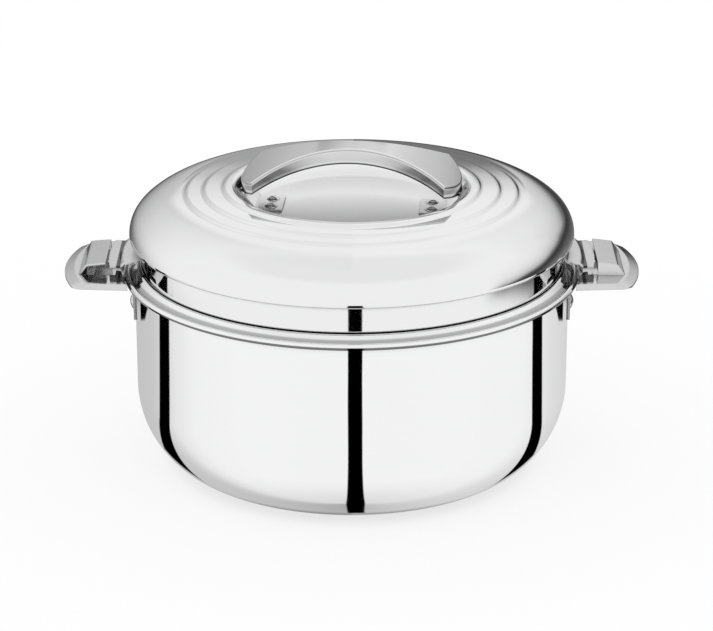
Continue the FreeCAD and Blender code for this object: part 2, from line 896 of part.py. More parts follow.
def side_grip(side, facing):
    """A handle stamped from one sheet: turned-down edge and raised hood."""
    name = side + "_handle"
    skirt = grip_top - d.grip_flange
    below = skirt - CUT_RUN
    gauge = d.handle_gauge
    opening = d.hood_open + d.mouth_margin
    plate = grip_form(name + "_plate", Size.of(0), skirt)
    tray = cut(name + "_tray", plate, [grip_form(name + "_lining", gauge, below)])
    hood = hood_block(name + "_hood", Size.of(0), grip_top - gauge, hood_inner, d.hood_open)
    hollow = hood_block(name + "_hollow", gauge, below, hood_inner - CUT_RUN, opening)
    pressed = fuse(name + "_pressed", [tray, hood])
    return turned_to(cut(name, pressed, [hollow, mouth_block(name + "_mouth", below)]), Size.of(facing))


# ---------------------------------------------------------------- lid

def lid_outer_shell():
    edge = dome_widest - d.dome_edge
    inner_bend = d.dome_edge_bend
    foot = lid_foot
    steps = lid_skin(Size.of(0))
    steps += [
        arc(dome_radius - d.dome_edge, edge, d.dome_edge, -1),
        line(lid_wall_radius + inner_bend, edge),
        arc(lid_wall_radius, edge - inner_bend, inner_bend, 1),
        line(lid_wall_radius, foot + d.hem_bend),
        arc(lid_wall_radius - d.hem_bend, foot, d.hem_bend, -1),
        line(lid_wall_radius - d.hem_width, foot),
    ]
    blank = turned_sheet("lid_outer_shell_blank", steps, -d.shell_gauge)
    holes = wall_holes("lid_hole", ear_rivets, d.ear_rivet_shank, lid_wall_radius)
    recess_holes = group("recess_holes", strap_holes("recess_hole"))
    return cut("lid_outer_shell", blank, holes + [strap_turned(recess_holes)])


def lid_inner_shell():
    flange = lid_foot + d.shell_gauge
    steps = rounded([
        (0, plug_floor),
        (plug_radius, plug_floor, d.plug_corner),
        (plug_radius, flange, d.mouth_round),
        (lid_wall_radius - d.hem_bend - d.foam_gap, flange),
    ])
    return turned_sheet("lid_inner_shell", steps, d.shell_gauge)


def lid_insulation():
    inset = foam_inset
    wall = lid_wall_radius - inset
    shelf = dome_widest - d.dome_edge + inset + d.foam_gap
    ledge = lid_foot + 2 * d.shell_gauge + d.foam_gap
    steps = lid_skin(inset)
    steps += [
        line(dome_radius - d.dome_edge, shelf),
        line(wall, shelf),
        line(wall, ledge),
        line(plug_radius - inset, ledge),
    ]
    steps += rounded([
        (plug_radius - inset, ledge),
        (plug_radius - inset, plug_floor + inset, d.plug_corner - inset),
        (0, plug_floor + inset),
    ])[1:]
    blank = turned_solid("lid_insulation_blank", steps)
    inner = lid_wall_radius - d.shell_gauge - d.strip_gauge - d.rivet_head_height - d.pocket_clearance
    pockets = side_rings("lid_pocket", inner, lid_wall_radius, ear_backing_low - d.pocket_clearance,
                         ear_backing_high + d.pocket_clearance, d.ear_angle + d.pocket_angle)
    depth = d.shell_gauge + d.strip_gauge + d.rivet_head_height + d.pocket_clearance
    slack = d.pocket_clearance
    strap_pockets = [
        block("strap_pocket_" + side,
              (low - slack, -d.strap_tab_width / 2 - slack, recess_floor - depth),
              (high + slack, d.strap_tab_width / 2 + slack, recess_floor))
        for side, low, high in strap_backing_spans()
    ]
    pockets.append(strap_turned(group("strap_pockets", strap_pockets)))
    return cut("lid_insulation", blank, pockets)


def strap_turned(shape):
    """Turned with the lid handle, which sits a little askew, clockwise from above."""
    return turned_to(shape, d.strap_turn, DOWN)


def strap_backing_spans():
    near = strap_foot_reach - d.strap_backing_margin
    far = 2 * strap_rivet_place - near
    return (("right", near, far), ("left", -far, -near))


def strap_backing_plates():
    top = recess_floor - d.shell_gauge
    plates = []
    for side, low, high in strap_backing_spans():
        plates.append(block(
            "strap_backing_" + side,
            (low, -d.strap_tab_width / 2, top - d.strip_gauge),
            (high, d.strap_tab_width / 2, top),
        ))
    blanks = group("strap_backing_blanks", plates)
    return strap_turned(cut("lid_handle_backing_plates", blanks, strap_holes("strap_backing_hole")))


def strap_plan(name, height):
    """The lid handle seen from above: waisted sides, ends curved round the recess."""
    side_centre = d.strap_waist + d.strap_side_curve
    corner_y = (strap_end * strap_end - d.strap_side_curve * d.strap_side_curve
                + side_centre * side_centre) / (2 * side_centre)
    corner_x = root(strap_end * strap_end - corner_y * corner_y)
    steps = [
        arc(corner_x, -corner_y, d.strap_side_curve, -1),
        arc(corner_x, corner_y, strap_end, 1),
        arc(-corner_x, corner_y, d.strap_side_curve, -1),
        arc(-corner_x, -corner_y, strap_end, 1),
    ]
    sketch = outline(name, steps)
    sketch.setExpression("Placement.Base.z", Size.of(height).text)
    return sketch


def strap_arch(name, drop, low_end):
    """The arch seen from the front, drop below the top face, down to low_end."""
    curve = d.strap_curve - drop
    middle = strap_top - d.strap_curve
    half = strap_end + CUT_RUN
    crown = middle + root(curve * curve - half * half)
    return [line(half, low_end), line(half, crown), arc(-half, crown, curve, 1), line(-half, low_end)]


def lid_handle():
    reach = d.strap_waist + d.strap_side_curve
    half = strap_end + CUT_RUN
    lip = strap_lip_centre + root(d.strap_lip_curve * d.strap_lip_curve - half * half)
    steps = strap_arch("strap_top", Size.of(0), lip)
    steps[0] = arc(half, lip, d.strap_lip_curve, -1)
    arch = extruded("strap_arch", outline("strap_arch", steps, TO_XZ), BACK, reach, reach)
    plan = extruded("strap_plan", strap_plan("strap_plan", 0), UP, strap_top + CUT_RUN)
    inner_steps = strap_arch("strap_inner", d.handle_gauge, recess_floor)
    inner_face = outline("strap_inner_arch", inner_steps, TO_XZ)
    inner_arch = extruded("strap_inner_arch", inner_face, BACK, reach, reach)
    inner_sketch = inset_outline("strap_inner_plan", strap_plan("strap_inner_plan", 0), d.handle_gauge)
    inner_plan = extruded("strap_inner_plan", inner_sketch, UP, strap_top + CUT_RUN)
    hollow = common("strap_hollow", inner_arch, inner_plan)
    form = softened("strap_form", common("strap_block", arch, plan), d.strap_fold, strap_folds)
    cover = cut("strap_cover", form, [hollow])
    tabs = [strap_tab("strap_tab_right", 1), strap_tab("strap_tab_left", -1)]
    shape = fuse("strap_formed", [cover] + tabs)
    return strap_turned(cut("lid_handle", shape, strap_holes("strap_hole")))


def strap_folds(edge):
    """The edges all round the arched top face."""
    middle = edge.valueAt((edge.FirstParameter + edge.LastParameter) / 2)
    centre = strap_top - d.strap_curve
    return abs(math.hypot(middle.x, middle.z - centre.value) - d.strap_curve.value) < SAME


def strap_tab(name, side):
    """One end's tongue: down the recess wall and inward along its floor."""
    floor = recess_floor
    wall = strap_end - d.strap_tab_inset
    gauge = d.strip_gauge
    points = [
        (side * wall, strap_lip_end + d.strap_tab_lap),
        (side * wall, floor + d.strap_tab_knee, d.strap_tab_bend),
        (side * (wall - d.strap_tab_run), floor, d.strap_tab_bend),
        (side * strap_foot_reach, floor),
    ]
    sketch = outline(name, rounded(points), TO_XZ, closed=False)
    half = d.strap_tab_width / 2
    return extruded(name, sheet_section(name, sketch, -side * gauge), BACK, half, half)


def strap_rivet_set():
    face = recess_floor + d.strip_gauge
    back = face - 2 * d.strip_gauge - d.shell_gauge - d.head_seat
    rivets = []
    for number, (across, along) in enumerate(strap_rivets()):
        name = "strap_rivet_%d" % number
        rivet = DOC.addObject("Part::Revolution", name)
        rivet.Source = rivet_outline(name, Size.of(0), face, back,
                                     d.rivet_shank, d.rivet_head, TO_UPRIGHT)
        rivet.Axis = UP
        rivet.Angle = 360
        rivet.Solid = True
        rivet.setExpression("Placement.Base.x", across.text)
        rivet.setExpression("Placement.Base.y", along.text)
        rivets.append(rivet)
    return strap_turned(group("lid_handle_rivets", rivets))


# ---------------------------------------------------------------- lid ears

def lid_ear(side, facing):
    """A tongue riveted to the lid's wall that reaches out to the handle's hood."""
    name = side + "_lid_ear"
    steps = rounded([
        (ear_plate, lid_foot + d.ear_height),
        (ear_plate, ear_neck, d.ear_bend),
        (ear_joggle, ear_neck, d.ear_joggle_bend),
        (ear_joggle + d.ear_joggle_run, ear_tongue, d.ear_joggle_bend),
        (hood_inner - d.ear_hood_gap, ear_tongue),
    ])
    blank = turned_sheet(name + "_blank", steps, -d.strip_gauge, d.ear_angle)
    holes = [
        radial_hole("%s_hole_%s" % (name, label), d.ear_rivet_shank, height, angle,
                    ear_plate - CUT_RUN, ear_plate + CUT_RUN)
        for label, height, angle in ear_rivets()
    ]
    return turned_to(cut(name, blank, holes), Size.of(facing))


def ear_backing(side, facing):
    name = side + "_ear_backing_plate"
    outer = lid_wall_radius - d.shell_gauge
    blank = ring_piece(name + "_blank", outer - d.strip_gauge, outer, ear_backing_low, ear_backing_high,
                       d.ear_angle)
    holes = [
        radial_hole("%s_hole_%s" % (name, label), d.ear_rivet_shank, height, angle,
                    outer - CUT_RUN, outer + CUT_RUN)
        for label, height, angle in ear_rivets()
    ]
    return turned_to(cut(name, blank, holes), Size.of(facing))


def ear_rivet_set(side, facing):
    name = side + "_ear_rivets"
    grip = 2 * d.strip_gauge + d.shell_gauge
    rivets = [
        radial_rivet("%s_%s" % (name, label), ear_plate, grip, height, angle,
                     d.ear_rivet_shank, d.ear_rivet_head)
        for label, height, angle in ear_rivets()
    ]
    return turned_to(group(name, rivets), Size.of(facing))


# ---------------------------------------------------------------- assembly

def build():
    pieces = [outer_shell(), inner_bowl(), pot_insulation(), base_plate()]
    pieces += [lid_outer_shell(), lid_inner_shell(), lid_insulation()]
    pieces += [lid_handle(), strap_rivet_set(), strap_backing_plates()]
    for side, facing in SIDES:
        pieces += [side_grip(side, facing), bracket(side, facing)]
        pieces += [bracket_backing(side, facing), bracket_rivet_set(side, facing)]
        pieces += [lid_ear(side, facing), ear_backing(side, facing), ear_rivet_set(side, facing)]
    DOC.recompute()
    return pieces


def check(pieces):
    failed = [item.Name for item in DOC.Objects if {"Invalid", "Error"} & set(item.State)]
    if failed:
        raise RuntimeError("failed objects: " + ", ".join(failed))
    for piece in pieces:
        if piece.Shape.isNull() or not piece.Shape.isValid() or not piece.Shape.Solids:
            raise RuntimeError("bad shape: " + piece.Name)


def write(pieces):
    os.makedirs("parts", exist_ok=True)
    for piece in pieces:
        piece.Label = piece.Name
        piece.Shape.exportStep("parts/%s.step" % piece.Name)
        print("%-30s %d solids %10.1f mm3" % (piece.Name, len(piece.Shape.Solids), piece.Shape.Volume))


PIECES = build()
check(PIECES)
write(PIECES)
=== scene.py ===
import math

import bmesh
import bpy
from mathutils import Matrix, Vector


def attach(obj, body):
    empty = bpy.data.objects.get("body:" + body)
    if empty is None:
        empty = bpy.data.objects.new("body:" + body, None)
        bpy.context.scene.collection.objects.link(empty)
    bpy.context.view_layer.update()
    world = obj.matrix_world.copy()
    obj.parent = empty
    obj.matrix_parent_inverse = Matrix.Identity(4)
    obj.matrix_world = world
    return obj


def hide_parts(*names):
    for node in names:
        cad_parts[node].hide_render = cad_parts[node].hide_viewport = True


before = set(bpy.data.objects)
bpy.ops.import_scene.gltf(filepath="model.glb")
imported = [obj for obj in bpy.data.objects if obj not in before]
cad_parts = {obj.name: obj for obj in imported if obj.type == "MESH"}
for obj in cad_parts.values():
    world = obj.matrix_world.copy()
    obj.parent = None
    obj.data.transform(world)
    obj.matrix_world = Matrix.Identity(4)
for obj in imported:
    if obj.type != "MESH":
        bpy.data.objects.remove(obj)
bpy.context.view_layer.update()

MM = 0.001

# ---------------------------------------------------------------- sizes, in metres

# the pot, its bowl and their rim
SHELL_GAUGE = 0.6 * MM
POT_RADIUS = 115.0 * MM
FOOT_RADIUS = 81.4 * MM
FOOT_LIP = 9.0 * MM
CORNER_HEIGHT = 42.9 * MM
CORNER_TIGHT = 27.0 * MM
BOWL_RADIUS = 104.0 * MM
BOWL_FLOOR = 17.0 * MM
BOWL_CORNER = 32.0 * MM
SEAT_HEIGHT = 109.4 * MM
SEAT_RADIUS = 112.9 * MM
SEAT_ROUND = 2.5 * MM
MOUTH_ROUND = 1.5 * MM
BEAD_RADIUS = 1.8 * MM
BEAD_HEIGHT = 105.0 * MM
RIM_RADIUS = 120.8 * MM
CREASE_INSET = 2.1 * MM
CREASE_RISE = 0.7 * MM
SLOPE_INNER = 115.2 * MM
SLOPE_OUTER = 117.6 * MM
FLANGE_HEIGHT = 103.9 * MM
FLANGE_BEND = 1.2 * MM

# the lid
LID_WALL_RADIUS = 112.3 * MM
DOME_RADIUS = 117.3 * MM
DOME_WIDEST = 126.0 * MM
DOME_EDGE = 2.6 * MM
DOME_EDGE_BEND = 0.8 * MM
LID_FOOT = 109.7 * MM
HEM_BEND = 1.0 * MM
HEM_WIDTH = 5.0 * MM
SHOULDER_RADIUS = 90.0 * MM
SHOULDER_TIGHT = 16.5 * MM
TERRACE_DROP = 1.4 * MM
TERRACE_CURVE = 3.0 * MM
TERRACES = (67.6 * MM, 78.0 * MM, 87.5 * MM)
CROWN_HEIGHT = 151.0 * MM
RECESS_RADIUS = 63.0 * MM
RECESS_DEPTH = 12.3 * MM
RECESS_FILLET = 8.0 * MM
RECESS_LIP = 2.5 * MM
RECESS_TILT = math.radians(60)
RECESS_FLOOR = CROWN_HEIGHT - RECESS_DEPTH

# the strap over the dished middle, the ears and the hoods
STRAP_TOP = 172.6 * MM
STRAP_CURVE = 104.0 * MM
STRAP_LIP_TOP = 164.6 * MM
STRAP_LIP_CURVE = 118.0 * MM
STRAP_TURN = math.radians(4)
EAR_BEND_INNER = 121.2 * MM
EAR_BEND_OUTER = 123.4 * MM
HOOD_EDGE = 129.0 * MM
HOOD_SHEET_LOW = 112.95 * MM
# a sheet at the hood's inner edge, put there so the gap before the ear shows as shade
HOOD_LIP_INSET = 0.05 * MM
HOOD_LIP_DROP = 4.5 * MM
HOOD_LIP_THICK = 0.4 * MM
HOOD_LIP_BACK = 17.0 * MM
HOOD_LIP_FRONT = -15.0 * MM

# ---------------------------------------------------------------- camera

CAMERA_PLACE = Vector((0.0025, -1.4047, 0.6022))
CAMERA_TARGET = Vector((0.0025, 0.0, 0.0772))
CAMERA_LENS = 141.6
CAMERA_SENSOR = 36.0


def set_camera():
    data = bpy.data.cameras.new("camera")
    data.lens = CAMERA_LENS
    data.sensor_width = CAMERA_SENSOR
    camera = bpy.data.objects.new("camera", data)
    camera.location = CAMERA_PLACE
    camera.rotation_euler = (CAMERA_TARGET - CAMERA_PLACE).to_track_quat("-Z", "Y").to_euler()
    bpy.context.collection.objects.link(camera)
    bpy.context.scene.camera = camera


# ---------------------------------------------------------------- outlines

ARC_STEP = math.radians(3)


class Outline:
    """A line of points in the radius and height plane, with arcs that bend between them."""

    def __init__(self, x, z):
        self.points = [Vector((x, z))]

    def line(self, x, z):
        self.points.append(Vector((x, z)))

    def arc(self, x, z, radius, turn):
        """An arc that ends at (x, z): turn is +1 counter-clockwise, -1 clockwise."""
        start, end = self.points[-1], Vector((x, z))
        half = (end - start) / 2
        rise = math.sqrt(max(radius ** 2 - half.length_squared, 0))
        side = Vector((-half.y, half.x)).normalized() * rise * turn
        centre = start + half + side
        first = math.atan2(start.y - centre.y, start.x - centre.x)
        last = math.atan2(end.y - centre.y, end.x - centre.x)
        sweep = (last - first) * turn % (2 * math.pi) * turn
        count = max(2, math.ceil(abs(sweep) / ARC_STEP))
        for step in range(1, count + 1):
            angle = first + sweep * step / count
            self.points.append(centre + Vector((math.cos(angle), math.sin(angle))) * radius)


def rounded_outline(points):
    """An outline through points; a point given with a radius is rounded."""
    outline = Outline(*points[0])
    for index in range(1, len(points)):
        point = points[index]
        if len(point) == 2:
            outline.line(*point)
            continue
        here = Vector(point[:2])
        towards = (here - Vector(points[index - 1][:2])).normalized()
        away = (Vector(points[index + 1][:2]) - here).normalized()
        cut_back = point[2] * math.tan(towards.angle(away) / 2)
        turn = 1 if towards.cross(away) > 0 else -1
        outline.line(*(here - towards * cut_back))
        outline.arc(*(here + away * cut_back), point[2], turn)
    return outline


def oval_quarter(short, long, tight):
    """The wide radius of a quarter oval of two arcs, and where it meets the tight one."""
    wide = ((long - tight) ** 2 + short ** 2 - tight ** 2) / (2 * (short - tight))
    meet_short = wide * (wide - short) / (wide - tight) - (wide - short)
    meet_long = wide * (long - tight) / (wide - tight)
    return wide, meet_short, meet_long


def sheet_loop(outline, gauge):
    """The closed section of sheet metal: the outline and its copy gauge to the left."""
    points = outline.points
    normals = []
    for index, point in enumerate(points):
        before = points[max(index - 1, 0)]
        after = points[min(index + 1, len(points) - 1)]
        into = (point - before).normalized() if point != before else (after - point).normalized()
        out = (after - point).normalized() if after != point else into
        middle = (into + out).normalized()
        normal = Vector((-middle.y, middle.x))
        normals.append(normal / max(normal.dot(Vector((-into.y, into.x))), 0.5))
    inner = [point + normal * gauge for point, normal in zip(points, normals)]
    return points + inner[::-1]


# ---------------------------------------------------------------- meshes

TURN_STEPS = 288
SHARP_ANGLE = math.radians(35)
SAME_POINT = 1e-7


def new_piece(name, verts, faces):
    mesh = bpy.data.meshes.new(name)
    mesh.from_pydata(verts, [], faces)
    mesh.validate()
    piece = bpy.data.objects.new(name, mesh)
    bpy.context.collection.objects.link(piece)
    return piece


def fix_normals(piece):
    """Join points that lie together, as on the axis, and turn all the faces outward."""
    work = bmesh.new()
    work.from_mesh(piece.data)
    bmesh.ops.remove_doubles(work, verts=work.verts, dist=SAME_POINT)
    bmesh.ops.recalc_face_normals(work, faces=work.faces)
    work.to_mesh(piece.data)
    work.free()
    return piece


def smooth(piece):
    for polygon in piece.data.polygons:
        polygon.use_smooth = True
    piece.data.set_sharp_from_angle(angle=SHARP_ANGLE)
    return piece


def turned_piece(name, loop):
    """A closed section of points turned about the vertical axis."""
    verts, faces = [], []
    count = len(loop)
    for step in range(TURN_STEPS):
        angle = 2 * math.pi * step / TURN_STEPS
        verts += [(p.x * math.cos(angle), p.x * math.sin(angle), p.y) for p in loop]
    for step in range(TURN_STEPS):
        start, end = step * count, (step + 1) % TURN_STEPS * count
        for index in range(count):
            following = (index + 1) % count
            faces.append((start + index, end + index, end + following, start + following))
    return smooth(fix_normals(new_piece(name, verts, faces)))


# ---------------------------------------------------------------- pot and lid shells

def make_outer_shell():
    """The pot's outer skin: a turned-in foot, an oval corner, the wall and the flange under the rim."""
    wide, meet_short, meet_long = oval_quarter(POT_RADIUS - FOOT_RADIUS, CORNER_HEIGHT, CORNER_TIGHT)
    outline = Outline(FOOT_RADIUS - FOOT_LIP, 0)
    outline.line(FOOT_RADIUS, 0)
    outline.arc(FOOT_RADIUS + meet_short, CORNER_HEIGHT - meet_long, CORNER_TIGHT, 1)
    outline.arc(POT_RADIUS, CORNER_HEIGHT, wide, 1)
    outline.line(POT_RADIUS, FLANGE_HEIGHT - FLANGE_BEND)
    outline.arc(POT_RADIUS + FLANGE_BEND, FLANGE_HEIGHT, FLANGE_BEND, -1)
    outline.line(RIM_RADIUS - BEAD_RADIUS, FLANGE_HEIGHT)
    return turned_piece("pot_outer_skin", sheet_loop(outline, SHELL_GAUGE))


def make_inner_bowl():
    """The bowl, its seat for the lid, the slope beside it and the rolled bead."""
    bead_middle = RIM_RADIUS - BEAD_RADIUS
    lean = math.sqrt(0.5)
    outline = rounded_outline([
        (0, BOWL_FLOOR),
        (BOWL_RADIUS, BOWL_FLOOR, BOWL_CORNER),
        (BOWL_RADIUS, SEAT_HEIGHT, MOUTH_ROUND),
        (SEAT_RADIUS, SEAT_HEIGHT, SEAT_ROUND),
        (bead_middle - CREASE_INSET, BEAD_HEIGHT + CREASE_RISE),
    ])
    outline.line(bead_middle - BEAD_RADIUS * lean, BEAD_HEIGHT + BEAD_RADIUS * lean)
    outline.arc(RIM_RADIUS, BEAD_HEIGHT, BEAD_RADIUS, -1)
    outline.arc(bead_middle, BEAD_HEIGHT - BEAD_RADIUS, BEAD_RADIUS, -1)
    outline.line(bead_middle - CREASE_INSET, BEAD_HEIGHT - BEAD_RADIUS)
    return turned_piece("pot_bowl_and_rim", sheet_loop(outline, -SHELL_GAUGE))


def draw_recess(outline):
    """The floor of the dished middle, its fillet, its leaning wall and the rounded lip."""
    tilt_sine, tilt_cosine = math.sin(RECESS_TILT), math.cos(RECESS_TILT)
    curves = RECESS_FILLET + RECESS_LIP
    slope = (RECESS_DEPTH - curves * (1 - tilt_cosine)) / tilt_sine
    floor_radius = RECESS_RADIUS - curves * tilt_sine - slope * tilt_cosine
    outline.line(floor_radius, RECESS_FLOOR)
    outline.arc(floor_radius + RECESS_FILLET * tilt_sine,
                RECESS_FLOOR + RECESS_FILLET * (1 - tilt_cosine), RECESS_FILLET, 1)
    outline.line(RECESS_RADIUS - RECESS_LIP * tilt_sine, CROWN_HEIGHT - RECESS_LIP * (1 - tilt_cosine))
    outline.arc(RECESS_RADIUS, CROWN_HEIGHT, RECESS_LIP, -1)


def draw_terraces(outline):
    """The soft steps around the dished middle. It gives back the height below the last one."""
    height = CROWN_HEIGHT
    step_cosine = 1 - TERRACE_DROP / (2 * TERRACE_CURVE)
    half = TERRACE_CURVE * math.sqrt(1 - step_cosine ** 2)
    for radius in TERRACES:
        outline.line(radius - half, height)
        outline.arc(radius, height - TERRACE_DROP / 2, TERRACE_CURVE, -1)
        outline.arc(radius + half, height - TERRACE_DROP, TERRACE_CURVE, 1)
        height -= TERRACE_DROP
    return height


def make_lid_outer_shell():
    """The lid's outer skin, from the dished middle over the dome to the hem of its wall."""
    outline = Outline(0, RECESS_FLOOR)
    draw_recess(outline)
    height = draw_terraces(outline)
    wide, meet_short, meet_long = oval_quarter(
        height - DOME_WIDEST, DOME_RADIUS - SHOULDER_RADIUS, SHOULDER_TIGHT)
    outline.line(SHOULDER_RADIUS, height)
    outline.arc(SHOULDER_RADIUS + meet_long, DOME_WIDEST + meet_short, wide, -1)
    outline.arc(DOME_RADIUS, DOME_WIDEST, SHOULDER_TIGHT, -1)
    edge = DOME_WIDEST - DOME_EDGE
    outline.arc(DOME_RADIUS - DOME_EDGE, edge, DOME_EDGE, -1)
    outline.line(LID_WALL_RADIUS + DOME_EDGE_BEND, edge)
    outline.arc(LID_WALL_RADIUS, edge - DOME_EDGE_BEND, DOME_EDGE_BEND, 1)
    outline.line(LID_WALL_RADIUS, LID_FOOT + HEM_BEND)
    outline.arc(LID_WALL_RADIUS - HEM_BEND, LID_FOOT, HEM_BEND, -1)
    outline.line(LID_WALL_RADIUS - HEM_WIDTH, LID_FOOT)
    return turned_piece("lid_outer_skin", sheet_loop(outline, -SHELL_GAUGE))


def make_gap_shading_lip(side):
    """A sheet hung down at a hood's inner edge, just beyond the tip of the ear, put there so that the gap
    before the ear shows as shade instead of the table beyond.
    """
    near = side * (HOOD_EDGE + HOOD_LIP_INSET)
    far = near + side * HOOD_LIP_THICK
    low, high = HOOD_SHEET_LOW - HOOD_LIP_DROP, HOOD_SHEET_LOW
    verts = [(x, y, z) for x in (near, far) for y in (HOOD_LIP_FRONT, HOOD_LIP_BACK) for z in (low, high)]
    faces = [(0, 1, 3, 2), (4, 6, 7, 5), (0, 4, 5, 1), (2, 3, 7, 6), (0, 2, 6, 4), (1, 5, 7, 3)]
    return fix_normals(new_piece("gap_shading_lip", verts, faces))


# ---------------------------------------------------------------- nodes

def join(tree, value, socket):
    """Feed a socket from another node's socket, or set it to a plain number."""
    if isinstance(value, bpy.types.NodeSocket):
        tree.links.new(value, socket)
    else:
        socket.default_value = value


def calculate(tree, operation, *values):
    node = tree.nodes.new("ShaderNodeMath")
    node.operation = operation
    for value, socket in zip(values, node.inputs):
        join(tree, value, socket)
    return node.outputs[0]


def multiplied(tree, first, *others):
    for other in others:
        first = calculate(tree, "MULTIPLY", first, other)
    return first


def highest(tree, first, *others):
    for other in others:
        first = calculate(tree, "MAXIMUM", first, other)
    return first


def turned_over(tree, mask):
    """1 where the mask is 0, and the other way round."""
    return calculate(tree, "SUBTRACT", 1.0, mask)


def between(tree, value, low, high, start=0.0, end=1.0):
    """A smooth step of value, from start at low to end at high."""
    node = tree.nodes.new("ShaderNodeMapRange")
    node.interpolation_type = "SMOOTHSTEP"
    for name, given in (("Value", value), ("From Min", low), ("From Max", high),
                        ("To Min", start), ("To Max", end)):
        join(tree, given, node.inputs[name])
    return node.outputs["Result"]


def inside(tree, value, low, high, soft):
    """1 where value lies between low and high, with soft ends."""
    return multiplied(tree, between(tree, value, low - soft, low + soft),
                      between(tree, value, high - soft, high + soft, 1.0, 0.0))


def tone_along(tree, value, low, high, stops):
    """A grey that follows value from low to high through (place, tone) stops."""
    place = calculate(tree, "DIVIDE", calculate(tree, "SUBTRACT", value, low), high - low)
    ramp = tree.nodes.new("ShaderNodeValToRGB")
    elements = ramp.color_ramp.elements
    while len(elements) < len(stops):
        elements.new(0.5)
    for element, (at, tone) in zip(elements, stops):
        element.position = (at - low) / (high - low)
        element.color = (tone, tone, tone, 1)
    tree.links.new(place, ramp.inputs["Fac"])
    return ramp.outputs["Color"]


def mixed(tree, share, first, second):
    """First where share is 0, second where it is 1."""
    return calculate(tree, "ADD", multiplied(tree, turned_over(tree, share), first),
                     multiplied(tree, share, second))


def object_place(tree):
    return tree.nodes.new("ShaderNodeTexCoord").outputs["Object"]


def split(tree, vector):
    """The x, y and z of a vector."""
    parts = tree.nodes.new("ShaderNodeSeparateXYZ")
    tree.links.new(vector, parts.inputs[0])
    return parts.outputs


def combined(tree, *values):
    """A vector of x, y and z."""
    node = tree.nodes.new("ShaderNodeCombineXYZ")
    for value, socket in zip(values, node.inputs):
        join(tree, value, socket)
    return node.outputs[0]


def distance_out(tree, x, y):
    """How far a point at x, y lies from 0, 0."""
    return calculate(tree, "SQRT", calculate(tree, "ADD", calculate(tree, "MULTIPLY", x, x),
                                             calculate(tree, "MULTIPLY", y, y)))


def noise(tree, place, scale, detail, roughness):
    node = tree.nodes.new("ShaderNodeTexNoise")
    for name, value in (("Vector", place), ("Scale", scale), ("Detail", detail), ("Roughness", roughness)):
        join(tree, value, node.inputs[name])
    return node.outputs["Fac"]


def bumped(tree, height, distance, normal=None):
    bump = tree.nodes.new("ShaderNodeBump")
    bump.inputs["Distance"].default_value = distance
    tree.links.new(height, bump.inputs["Height"])
    if normal is not None:
        tree.links.new(normal, bump.inputs["Normal"])
    return bump.outputs["Normal"]


def shaded(tree, color, *masks):
    """The colour darkened by painted shade, given as masks that are 1 in the open."""
    for mask in masks:
        shade = tree.nodes.new("ShaderNodeVectorMath")
        shade.operation = "SCALE"
        tree.links.new(color, shade.inputs[0])
        tree.links.new(mask, shade.inputs["Scale"])
        color = shade.outputs[0]
    return color


COLOR_A, COLOR_B, COLOR_RESULT = 6, 7, 2


def tinted(tree, base, value, low, high):
    """The base colour, scaled from low to high as value goes from 0 to 1."""
    shade = tree.nodes.new("ShaderNodeMix")
    shade.data_type = "RGBA"
    tree.links.new(value, shade.inputs["Factor"])
    for socket, share in ((COLOR_A, low), (COLOR_B, high)):
        shade.inputs[socket].default_value = (*(channel * share for channel in base), 1)
    return shade.outputs[COLOR_RESULT]


# ---------------------------------------------------------------- effects that finishes share

SATIN_FULL_BELOW = RECESS_FLOOR + 4 * MM
SATIN_NONE_ABOVE = RECESS_FLOOR + 8 * MM
SATIN_ROUGH = 0.24
# painted shade: the dished middle darkens towards its front, before the strap
RECESS_SHADE_FRONT = -45 * MM
RECESS_SHADE_BACK = 25 * MM
RECESS_SHADE_TONE = 0.46


def new_group(name, inputs, outputs):
    """A shader group with named values in and out, each input given its usual value."""
    group = bpy.data.node_groups.new(name, "ShaderNodeTree")
    for label, value in inputs:
        socket = group.interface.new_socket(label, in_out="INPUT", socket_type="NodeSocketFloat")
        socket.default_value = value
    for label in outputs:
        group.interface.new_socket(label, in_out="OUTPUT", socket_type="NodeSocketFloat")
    return group, group.nodes.new("NodeGroupInput").outputs, group.nodes.new("NodeGroupOutput").inputs


def place_group(tree, group, **values):
    node = tree.nodes.new("ShaderNodeGroup")
    node.node_tree = group
    for name, value in values.items():
        node.inputs[name].default_value = value
    return node.outputs


def make_spin_lines():
    """Fine rings that the polishing wheel leaves on metal turned about the vertical axis."""
    tree, given, out = new_group("spin_lines", (("Fineness", 2600.0), ("Patchiness", 18.0)), ("Lines",))
    place = object_place(tree)
    x, y, z = split(tree, place)
    ring = combined(tree, multiplied(tree, distance_out(tree, x, y), given["Fineness"]),
                    multiplied(tree, z, given["Fineness"]), calculate(tree, "ARCTAN2", y, x))
    lines = noise(tree, ring, scale=1.0, detail=3.0, roughness=0.6)
    patches = noise(tree, place, scale=given["Patchiness"], detail=1.0, roughness=0.5)
    strength = between(tree, patches, 0.35, 0.65, 0.35, 1.0)
    centred = multiplied(tree, calculate(tree, "SUBTRACT", lines, 0.5), strength)
    tree.links.new(calculate(tree, "ADD", centred, 0.5), out["Lines"])
    return tree


def make_fine_scratches():
    """Hairlines and a faint haze, as on strip metal that hands touch."""
    tree, given, out = new_group(
        "fine_scratches", (("Fineness", 900.0), ("Length", 12.0)), ("Hairlines", "Haze"))
    place = object_place(tree)
    stretch = tree.nodes.new("ShaderNodeMapping")
    tree.links.new(place, stretch.inputs["Vector"])
    scale = combined(tree, calculate(tree, "DIVIDE", given["Fineness"], given["Length"]),
                     given["Fineness"], given["Fineness"])
    tree.links.new(scale, stretch.inputs["Scale"])
    hairlines = noise(tree, stretch.outputs[0], scale=1.0, detail=2.0, roughness=0.55)
    tree.links.new(hairlines, out["Hairlines"])
    tree.links.new(noise(tree, place, scale=45.0, detail=3.0, roughness=0.6), out["Haze"])
    return tree


